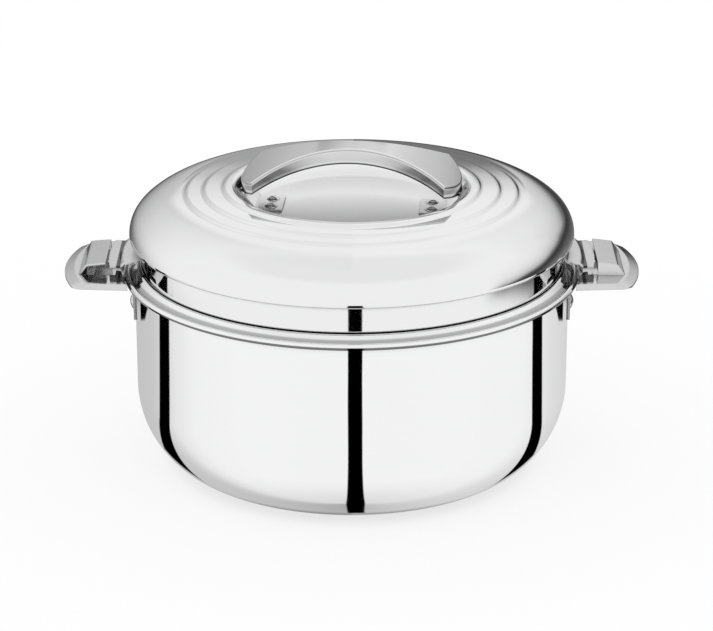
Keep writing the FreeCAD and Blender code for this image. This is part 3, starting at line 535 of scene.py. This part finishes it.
def make_sheet_waves():
    """The slow swell of thin sheet after pressing, as a height."""
    tree, given, out = new_group("sheet_waves", (("Spread", 26.0),), ("Swell",))
    swell = noise(tree, object_place(tree), scale=given["Spread"], detail=1.5, roughness=0.4)
    tree.links.new(swell, out["Swell"])
    return tree


def make_recess_satin_and_shade():
    """Where the dished middle of the lid is satin, and a painted shade that darkens it before the strap."""
    tree, given, out = new_group(
        "recess_satin_and_shade", (("Full Below", SATIN_FULL_BELOW), ("None Above", SATIN_NONE_ABOVE)),
        ("Satin", "Tone"))
    x, y, z = split(tree, object_place(tree))
    deep = between(tree, z, given["Full Below"], given["None Above"], 1.0, 0.0)
    within = between(tree, distance_out(tree, x, y), RECESS_RADIUS, RECESS_RADIUS + MM, 1.0, 0.0)
    deep = multiplied(tree, deep, within)
    tree.links.new(deep, out["Satin"])
    painted_front_shade = between(tree, y, RECESS_SHADE_FRONT, RECESS_SHADE_BACK, RECESS_SHADE_TONE, 1.0)
    tree.links.new(mixed(tree, deep, 1.0, painted_front_shade), out["Tone"])
    return tree


# ---------------------------------------------------------------- painted shade of single pieces

# how far into the open the painted shade of the gaps between pieces reaches on each finish
POT_GAP = 9.0 * MM
BOWL_GAP = 4.0 * MM
LID_GAP = 5.0 * MM
STRIP_GAP = 9.0 * MM
GAP_SHUT, GAP_OPEN = 0.3, 0.8
GAP_SHADE_TONE = 0.06
GAP_SAMPLES = 8

# painted shade on the rim's slope and under the bead
SLOPE_SHADE_TONE = 0.52
SLOPE_SOFT_INNER = 0.5 * MM
SLOPE_SOFT_OUTER = 0.2 * MM
BEAD_UNDER_LOW = BEAD_HEIGHT - 0.1 * MM
BEAD_UNDER_HIGH = BEAD_HEIGHT + 0.4 * MM
BEAD_UNDER_SHADE_TONE = 0.2

# painted shade on the strap: its lip edge, its fold and its ends
STRAP_EDGE = (-0.5 * MM, 0.75 * MM, 0.2 * MM)
STRAP_EDGE_SHADE_TONE = 0.08
STRAP_FOLD = (0.35 * MM, 1.1 * MM, 0.15 * MM)
STRAP_FOLD_SHADE_TONE = 0.6
STRAP_FRONT_BELOW_TOP = (1.0 * MM, 1.6 * MM)
STRAP_FRONT_ABOVE_LIP = (1.6 * MM, 2.2 * MM)
STRAP_ENDS = (12 * MM, 46 * MM)
STRAP_MIDDLE_SHADE_TONE, STRAP_END_SHADE_TONE = 0.9, 0.5

# painted shade in the hollow of each ear's bend
EAR_BEND_SOFT = 0.3 * MM
EAR_BEND_SHADE_TONE = 0.08


def painted_crevice_shade(tree, reach):
    """Painted shade: an ambient occlusion mask that falls from 1 in the open to nearly 0 deep in gaps and
    folds.
    """
    node = tree.nodes.new("ShaderNodeAmbientOcclusion")
    node.samples = GAP_SAMPLES
    node.inputs["Distance"].default_value = reach
    return between(tree, node.outputs["AO"], GAP_SHUT, GAP_OPEN, GAP_SHADE_TONE, 1.0)


def rim_painted_shades(tree):
    """Painted shade on the rim: the slope between the seat and the bead is darkened below both, and the bead
    is painted dark below.
    """
    x, y, z = split(tree, object_place(tree))
    radius = distance_out(tree, x, y)
    band = multiplied(
        tree, between(tree, radius, SLOPE_INNER - SLOPE_SOFT_INNER, SLOPE_INNER + SLOPE_SOFT_INNER),
        between(tree, radius, SLOPE_OUTER - SLOPE_SOFT_OUTER, SLOPE_OUTER + SLOPE_SOFT_OUTER, 1.0, 0.0))
    under = multiplied(tree, between(tree, z, BEAD_UNDER_LOW, BEAD_UNDER_HIGH, 1.0, 0.0),
                       between(tree, radius, SLOPE_OUTER, SLOPE_OUTER + MM))
    return mixed(tree, band, 1.0, SLOPE_SHADE_TONE), mixed(tree, under, 1.0, BEAD_UNDER_SHADE_TONE)


def above_arch(tree, along, z, top, radius):
    """How far a point lies outside an arch of the strap, from its highest point and its radius."""
    return calculate(tree, "SUBTRACT",
                     distance_out(tree, along, calculate(tree, "SUBTRACT", z, top - radius)), radius)


def strap_painted_shades(tree):
    """Painted shade on the strap's folded front: a fine darker fold line, a dark line along the edge of the
    bright lip, and ends darker than the middle.
    """
    x, y, z = split(tree, object_place(tree))
    along = calculate(tree, "SUBTRACT", multiplied(tree, x, math.cos(STRAP_TURN)),
                      multiplied(tree, y, math.sin(STRAP_TURN)))
    above_lip = above_arch(tree, along, z, STRAP_LIP_TOP, STRAP_LIP_CURVE)
    under_top = multiplied(tree, above_arch(tree, along, z, STRAP_TOP, STRAP_CURVE), -1.0)
    edge = mixed(tree, inside(tree, above_lip, *STRAP_EDGE), 1.0, STRAP_EDGE_SHADE_TONE)
    fold = mixed(tree, inside(tree, under_top, *STRAP_FOLD), 1.0, STRAP_FOLD_SHADE_TONE)
    front = multiplied(tree, between(tree, under_top, *STRAP_FRONT_BELOW_TOP),
                       between(tree, above_lip, *STRAP_FRONT_ABOVE_LIP))
    ends = between(tree, calculate(tree, "ABSOLUTE", along), *STRAP_ENDS, STRAP_MIDDLE_SHADE_TONE, STRAP_END_SHADE_TONE)
    return edge, fold, mixed(tree, front, 1.0, ends)


def ear_painted_shades(tree):
    """The hollow of an ear's bend is painted dark, as painted shade."""
    out = calculate(tree, "ABSOLUTE", split(tree, object_place(tree))[0])
    bend = inside(tree, out, EAR_BEND_INNER, EAR_BEND_OUTER, EAR_BEND_SOFT)
    return [mixed(tree, bend, 1.0, EAR_BEND_SHADE_TONE)]


# ---------------------------------------------------------------- materials

SWELL_DEPTH = 0.06 * MM
LINE_DEPTH = 0.00004 * MM
STRIP_SWELL_DEPTH = 0.03 * MM
LINE_TINTS = (0.975, 1.02)
HAZE_TINTS = (0.94, 1.04)
HAZE_ROUGH = 0.07
HAIRLINE_ROUGH = 0.05
FOLD_ROUND = 0.7 * MM
FINE_FOLD_ROUND = FOLD_ROUND / 2
FOLD_SAMPLES = 6

FOAM_COLOR = (0.86, 0.76, 0.52)
FOAM_TINTS = (0.85, 1.1)
FOAM_ROUGH = 0.85
FOAM_CELLS = 900.0
FOAM_CELL_DEPTH = 0.3 * MM


def grey(tone):
    """The faintly blue grey of stainless steel."""
    return tone, tone, tone + 0.005


def new_material(name):
    material = bpy.data.materials.new(name)
    material.use_nodes = True
    return material, material.node_tree


def steel_material(name):
    material, tree = new_material(name)
    shader = tree.nodes["Principled BSDF"]
    shader.inputs["Metallic"].default_value = 1.0
    return material, tree, shader


def softened_edges(tree, radius):
    """Normals rounded over the folds of pressed strip."""
    bevel = tree.nodes.new("ShaderNodeBevel")
    bevel.samples = FOLD_SAMPLES
    bevel.inputs["Radius"].default_value = radius
    return bevel.outputs["Normal"]


def satin_and_shade_below(tree, color, rough, low, high):
    """Give what lies in the dished middle its satin finish and its painted shade: all below low, none above
    high.
    """
    satin = place_group(tree, RECESS_SATIN_AND_SHADE, **{"Full Below": low, "None Above": high})
    return shaded(tree, color, satin["Tone"]), mixed(tree, satin["Satin"], rough, SATIN_ROUGH)


def turned_steel(name, tone, polish, grain, gap, satin=None, painted_shades=None):
    """Bright turned sheet: polish is its least roughness, grain what the rings add to it."""
    material, tree, shader = steel_material(name)
    lines = place_group(tree, SPIN_LINES)["Lines"]
    swell = place_group(tree, SHEET_WAVES)["Swell"]
    # painted shade darkens the colour in gaps and folds
    color = shaded(tree, tinted(tree, grey(tone), lines, *LINE_TINTS), painted_crevice_shade(tree, gap))
    rough = calculate(tree, "MULTIPLY_ADD", lines, grain, polish)
    if satin:
        color, rough = satin_and_shade_below(tree, color, rough, *satin)
    # painted shade of the piece itself, when given
    if painted_shades:
        color = shaded(tree, color, *painted_shades(tree))
    tree.links.new(color, shader.inputs["Base Color"])
    tree.links.new(rough, shader.inputs["Roughness"])
    normal = bumped(tree, swell, SWELL_DEPTH)
    tree.links.new(bumped(tree, lines, LINE_DEPTH, normal), shader.inputs["Normal"])
    return material


def strip_steel(name, tone, polish, fold, satin=None, painted_shades=None):
    """Pressed strip and small parts: hairlines, a faint haze, rounded folds."""
    material, tree, shader = steel_material(name)
    scratches = place_group(tree, FINE_SCRATCHES)
    haze = scratches["Haze"]
    # painted shade darkens the colour in gaps and folds
    color = shaded(tree, tinted(tree, grey(tone), haze, *HAZE_TINTS), painted_crevice_shade(tree, STRIP_GAP))
    rough = calculate(tree, "MULTIPLY_ADD", haze, HAZE_ROUGH, polish)
    rough = calculate(tree, "MULTIPLY_ADD", scratches["Hairlines"], HAIRLINE_ROUGH, rough)
    if satin:
        color, rough = satin_and_shade_below(tree, color, rough, *satin)
    # painted shade of the piece itself, when given
    if painted_shades:
        color = shaded(tree, color, *painted_shades(tree))
    tree.links.new(color, shader.inputs["Base Color"])
    tree.links.new(rough, shader.inputs["Roughness"])
    normal = bumped(tree, haze, STRIP_SWELL_DEPTH, softened_edges(tree, fold))
    tree.links.new(normal, shader.inputs["Normal"])
    return material


def foam_material():
    """Cream rigid foam with small open cells."""
    material, tree = new_material("cream_foam")
    shader = tree.nodes["Principled BSDF"]
    shader.inputs["Roughness"].default_value = FOAM_ROUGH
    place = object_place(tree)
    cells = tree.nodes.new("ShaderNodeTexVoronoi")
    cells.inputs["Scale"].default_value = FOAM_CELLS
    tree.links.new(place, cells.inputs["Vector"])
    blotches = noise(tree, place, scale=30.0, detail=2.0, roughness=0.5)
    tree.links.new(tinted(tree, FOAM_COLOR, blotches, *FOAM_TINTS), shader.inputs["Base Color"])
    tree.links.new(bumped(tree, cells.outputs["Distance"], FOAM_CELL_DEPTH), shader.inputs["Normal"])
    return material


# ---------------------------------------------------------------- studio

# Angles are in degrees: azimuth is 0 in front, positive on the right and 180 behind, and height is
# measured up from the level. Each stop is a place and the tone there.

STUDIO_RADIUS = 3.0
STUDIO_DIVISIONS = 5
FLOOR_HALF = 4.0
SHADOW_SHARE = 0.25
WHITE = (1, 1, 1, 1)

LOW_TONES = (
    (-180, 0.52), (-158, 0.58), (-130, 0.63), (-118, 0.72), (-106, 0.87), (-90, 0.97), (-60, 1.0),
    (0, 0.99), (60, 1.0), (100, 0.98), (112, 0.92), (130, 0.80), (160, 0.69), (180, 0.62))
FALL_TONES = ((-90, 0.74), (-85, 0.78), (-78, 0.83), (-72, 0.87), (-62, 0.95), (-50, 1.0))
LOW_END = (-18.9, -17.9)

LEFT_SHARES = (
    (-180, 1.0), (-165, 0.95), (-150, 0.82), (-135, 0.57), (-120, 0.23), (-108, 0.07), (-96, 0.0))
LEFT_DEPTHS = (
    (-20, 1.0), (-8, 0.97), (-2, 0.8), (2, 0.68), (12, 0.48), (22, 0.33), (35, 0.16), (60, 0.03))
RIGHT_EDGES = (
    (0, 0.0), (84, 0.0), (96, 0.28), (108, 0.46), (120, 0.72), (135, 0.9), (150, 0.86), (180, 0.74))
RIGHT_EDGE_LOW, RIGHT_EDGE_RANGE = -23.0, 30.0
RIGHT_DEPTHS = (
    (-30, 0.62), (-12, 0.86), (-3, 0.94), (2, 0.95), (7, 0.78), (10, 0.55), (14, 0.38),
    (22, 0.2), (30, 0.1), (50, 0.0))
RIGHT_START = (70, 84)

CARD_SIDE, CARD_FOOT, CARD_HEAD = (164, 174), (18.6, 22), (38, 60)
CARD_STRENGTH = 0.85
CURTAIN_SIDE, CURTAIN_HEAD = (171, 174), (18.8, 21.5)
CURTAIN_LEFT, CURTAIN_RIGHT = 0.6, 0.8
OVERHEAD, OVERHEAD_TONE = (50, 66), 0.92

# the front slit, in shares of the room's radius: each value changes with how far in front one looks
SLIT_MIDDLE, SLIT_MIDDLE_GAIN = 0.0165, 0.0125
SLIT_HALF, SLIT_HALF_GAIN, SLIT_HALF_GAIN_BEHIND = 0.0445, 0.0165, 0.03
SLIT_SOFT = 0.004
SLIT_END = (-0.5, -0.56)

# each side slit is part of a ring: azimuth and height of its middle, its radius, its width, and how
# much wider the ring is on the lid
SIDE_SLITS = ((-149, 6, 41.6, 8.0, 5.0), (148, 3, 40.4, 8.2, 4.5))
SIDE_SLIT_SOFT = 0.4
SIDE_SLIT_END = (156, 164)
LID_START = (-18.6, -18.4)
SLITS_TOP = (-17.2, -16.8)

# painted reflection of the dark straps under the handles, as wedges in the room
WEDGE_TOP, WEDGE_DROP = -18.5, 0.6
WEDGE_INNER, WEDGE_SLANT, WEDGE_SOFT = 132.0, 9.0, 0.8
WEDGE_OUTER, WEDGE_FOOT, WEDGE_HEAD = (149, 151), (-19.15, -19.05), (-18.5, -18.4)


def make_world():
    world = bpy.data.worlds.new("studio")
    bpy.context.scene.world = world
    world.use_nodes = True
    background = world.node_tree.nodes["Background"]
    background.inputs["Color"].default_value = WHITE
    background.inputs["Strength"].default_value = 1.0


def make_floor():
    """A white table: lit like the backdrop, with the faint shadow of what stands on it."""
    corners = [(-1, -1), (1, -1), (1, 1), (-1, 1)]
    floor = new_piece("floor", [(x * FLOOR_HALF, y * FLOOR_HALF, 0) for x, y in corners], [(0, 1, 2, 3)])
    material, tree = new_material("white_table")
    tree.nodes.clear()
    matt = tree.nodes.new("ShaderNodeBsdfDiffuse")
    matt.inputs["Color"].default_value = WHITE
    glow = tree.nodes.new("ShaderNodeEmission")
    glow.inputs["Color"].default_value = WHITE
    mix = tree.nodes.new("ShaderNodeMixShader")
    mix.inputs["Fac"].default_value = SHADOW_SHARE
    out = tree.nodes.new("ShaderNodeOutputMaterial")
    tree.links.new(glow.outputs[0], mix.inputs[1])
    tree.links.new(matt.outputs[0], mix.inputs[2])
    tree.links.new(mix.outputs[0], out.inputs["Surface"])
    floor.data.materials.append(material)
    floor.visible_glossy = False


def low_panels(tree, azimuth, height):
    """What the upright walls see, greyer behind and towards the table."""
    return multiplied(tree, tone_along(tree, azimuth, -180, 180, LOW_TONES),
                      tone_along(tree, height, -90, 0, FALL_TONES))


def high_panels(tree, azimuth, height):
    """What the dome sees: white before and above, grey behind, dark low on the right."""
    left = multiplied(tree, tone_along(tree, azimuth, -180, 0, LEFT_SHARES),
                      tone_along(tree, height, -20, 70, LEFT_DEPTHS))
    edge = tone_along(tree, azimuth, 0, 180, RIGHT_EDGES)
    edge = calculate(tree, "MULTIPLY_ADD", edge, RIGHT_EDGE_RANGE, RIGHT_EDGE_LOW)
    right = tone_along(tree, calculate(tree, "SUBTRACT", height, edge), -30, 60, RIGHT_DEPTHS)
    right = multiplied(tree, right, between(tree, azimuth, *RIGHT_START))
    behind = calculate(tree, "ABSOLUTE", azimuth)
    card = multiplied(tree, between(tree, behind, *CARD_SIDE), between(tree, height, *CARD_FOOT),
                      between(tree, height, *CARD_HEAD, 1, 0))
    curtain = multiplied(tree, between(tree, behind, *CURTAIN_SIDE),
                         between(tree, height, *CURTAIN_HEAD, 1, 0),
                         between(tree, azimuth, -1, 1, CURTAIN_LEFT, CURTAIN_RIGHT))
    dark = multiplied(tree, highest(tree, left, right, curtain),
                      turned_over(tree, multiplied(tree, card, CARD_STRENGTH)))
    return multiplied(tree, turned_over(tree, dark), between(tree, height, *OVERHEAD, 1.0, OVERHEAD_TONE))


def front_slit(tree, across, front):
    """A straight black slit before the pot, a little to the right: 0 in it and 1 beside it."""
    middle = calculate(tree, "MULTIPLY_ADD", front, SLIT_MIDDLE_GAIN, SLIT_MIDDLE)
    half = calculate(tree, "MULTIPLY_ADD", front, SLIT_HALF_GAIN, SLIT_HALF)
    half = calculate(tree, "MULTIPLY_ADD", calculate(tree, "MINIMUM", front, 0.0),
                     SLIT_HALF_GAIN_BEHIND, half)
    aside = calculate(tree, "ABSOLUTE", calculate(tree, "SUBTRACT", across, middle))
    beside = between(tree, calculate(tree, "SUBTRACT", aside, half), -SLIT_SOFT, SLIT_SOFT)
    return highest(tree, beside, between(tree, front, *SLIT_END))


def side_slit(tree, towards, azimuth, height, middle, rise, radius, width, shift):
    """A bowed black slit at one side: 0 in it and 1 beside it."""
    middle, rise = math.radians(middle), math.radians(rise)
    dot = tree.nodes.new("ShaderNodeVectorMath")
    dot.operation = "DOT_PRODUCT"
    tree.links.new(towards, dot.inputs[0])
    dot.inputs[1].default_value = (math.sin(middle) * math.cos(rise), -math.cos(middle) * math.cos(rise),
                                   math.sin(rise))
    turn = calculate(tree, "DEGREES", calculate(tree, "ARCCOSINE", dot.outputs["Value"]))
    turn = calculate(tree, "MULTIPLY_ADD", between(tree, height, *LID_START), shift, turn)
    off = calculate(tree, "ABSOLUTE", calculate(tree, "SUBTRACT", turn, radius))
    beside = between(tree, off, width / 2 - SIDE_SLIT_SOFT, width / 2 + SIDE_SLIT_SOFT)
    return highest(tree, beside, between(tree, calculate(tree, "ABSOLUTE", azimuth), *SIDE_SLIT_END))


def painted_bracket_reflections(tree, azimuth, height):
    """Dark wedges painted into the room, a painted reflection of the dark straps under the handles beside
    the rim: 0 in them and 1 beside them.
    """
    behind = calculate(tree, "ABSOLUTE", azimuth)
    drop = calculate(tree, "DIVIDE", calculate(tree, "SUBTRACT", WEDGE_TOP, height), WEDGE_DROP)
    inner = calculate(tree, "MULTIPLY_ADD", drop, WEDGE_SLANT, WEDGE_INNER)
    wedge = between(tree, calculate(tree, "SUBTRACT", behind, inner), -WEDGE_SOFT, WEDGE_SOFT)
    wedge = multiplied(tree, wedge, between(tree, behind, *WEDGE_OUTER, 1, 0),
                       between(tree, height, *WEDGE_FOOT), between(tree, height, *WEDGE_HEAD, 1, 0))
    return turned_over(tree, wedge)


def studio_tone(tree):
    """What the polish sees of the room, by azimuth from the front and by height."""
    towards = tree.nodes.new("ShaderNodeVectorMath")
    towards.operation = "NORMALIZE"
    tree.links.new(object_place(tree), towards.inputs[0])
    towards = towards.outputs[0]
    across, back, up = split(tree, towards)
    front = calculate(tree, "MULTIPLY", back, -1.0)
    azimuth = calculate(tree, "DEGREES", calculate(tree, "ARCTAN2", across, front))
    height = calculate(tree, "DEGREES", calculate(tree, "ARCSINE", up))

    slits = front_slit(tree, across, front)
    for slit in SIDE_SLITS:
        slits = multiplied(tree, slits, side_slit(tree, towards, azimuth, height, *slit))
    slits = multiplied(tree, slits, painted_bracket_reflections(tree, azimuth, height))
    slits = highest(tree, slits, between(tree, height, *SLITS_TOP))

    panels = mixed(tree, between(tree, height, *LOW_END), low_panels(tree, azimuth, height),
                   high_panels(tree, azimuth, height))
    return multiplied(tree, panels, slits)


def make_studio():
    """A round room of white and grey panels with black slits, seen only in the polish."""
    work = bmesh.new()
    bmesh.ops.create_icosphere(work, subdivisions=STUDIO_DIVISIONS, radius=STUDIO_RADIUS)
    mesh = bpy.data.meshes.new("studio_room")
    work.to_mesh(mesh)
    work.free()
    room = bpy.data.objects.new("studio_room", mesh)
    bpy.context.collection.objects.link(room)
    material, tree = new_material("studio_panels")
    tree.nodes.clear()
    glow = tree.nodes.new("ShaderNodeEmission")
    out = tree.nodes.new("ShaderNodeOutputMaterial")
    tree.links.new(studio_tone(tree), glow.inputs["Color"])
    tree.links.new(glow.outputs["Emission"], out.inputs["Surface"])
    mesh.materials.append(material)
    for seen_by in ("camera", "diffuse", "transmission", "volume_scatter", "shadow"):
        setattr(room, "visible_" + seen_by, False)


set_camera()
make_world()
make_floor()
make_studio()

# ---------------------------------------------------------------- finishes

SPIN_LINES = make_spin_lines()
FINE_SCRATCHES = make_fine_scratches()
SHEET_WAVES = make_sheet_waves()
RECESS_SATIN_AND_SHADE = make_recess_satin_and_shade()

RECESS_REACH = (SATIN_FULL_BELOW, SATIN_NONE_ABOVE)
# the strap's feet and rivets take the dished middle's satin and its painted shade
STRAP_FOOT = (RECESS_FLOOR + 1.5 * MM, RECESS_FLOOR + 3.5 * MM)

# each steel below has painted shade in its gaps and folds; the bowl, strap and ears carry painted shade of
# their own
POT_STEEL = turned_steel("bright_pot_steel", 0.90, polish=0.012, grain=0.03, gap=POT_GAP)
BOWL_STEEL = turned_steel("bright_bowl_steel", 0.88, polish=0.03, grain=0.05, gap=BOWL_GAP, painted_shades=rim_painted_shades)
LID_STEEL = turned_steel("bright_lid_steel", 0.855, polish=0.02, grain=0.04, gap=LID_GAP, satin=RECESS_REACH)
INNER_STEEL = turned_steel("satin_inner_steel", 0.78, polish=0.2, grain=0.14, gap=BOWL_GAP)
HANDLE_STEEL = strip_steel("bright_handle_steel", 0.66, polish=0.05, fold=FOLD_ROUND)
STRAP_STEEL = strip_steel("bright_strap_steel", 0.84, polish=0.05, fold=FINE_FOLD_ROUND,
                          satin=STRAP_FOOT, painted_shades=strap_painted_shades)
STRAP_RIVET_STEEL = strip_steel("satin_strap_rivets", 0.78, polish=0.12, fold=FOLD_ROUND, satin=STRAP_FOOT)
STRIP_STEEL = strip_steel("plain_strip_steel", 0.64, polish=0.08, fold=FINE_FOLD_ROUND)
EAR_STEEL = strip_steel("bent_ear_steel", 0.64, polish=0.06, fold=FINE_FOLD_ROUND, painted_shades=ear_painted_shades)
RIVET_STEEL = strip_steel("rivet_steel", 0.74, polish=0.1, fold=FINE_FOLD_ROUND)
FOAM = foam_material()

# the finish of a piece that keeps its own form: the first word that its name holds decides
FINISHES = (
    ("insulation", FOAM),
    ("lid_handle_rivets", STRAP_RIVET_STEEL),
    ("rivets", RIVET_STEEL),
    ("lid_ear", EAR_STEEL),
    ("bracket", STRIP_STEEL),
    ("backing", STRIP_STEEL),
    ("lid_handle", STRAP_STEEL),
    ("handle", HANDLE_STEEL),
    ("", INNER_STEEL),
)

for name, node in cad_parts.items():
    node.data.materials.clear()
    node.data.materials.append(next(finish for word, finish in FINISHES if word in name))

# ---------------------------------------------------------------- pieces

for maker, body, slot, nodes, steel in (
    (make_outer_shell, "pot", "outer_steel", ("outer_shell",), POT_STEEL),
    (make_inner_bowl, "pot", "inner_steel", ("inner_bowl",), BOWL_STEEL),
    (make_lid_outer_shell, "lid", "outer_steel", ("lid_outer_shell",), LID_STEEL),
):
    piece = maker()
    piece.data.materials.append(steel)
    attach(piece, body)
    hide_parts(*nodes)

# sheets that make the gaps before the ears show as shade
for side in (-1, 1):
    lip = make_gap_shading_lip(side)
    lip.data.materials.append(HANDLE_STEEL)
    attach(lip, "pot")

bpy.context.scene.view_settings.view_transform = "Standard"
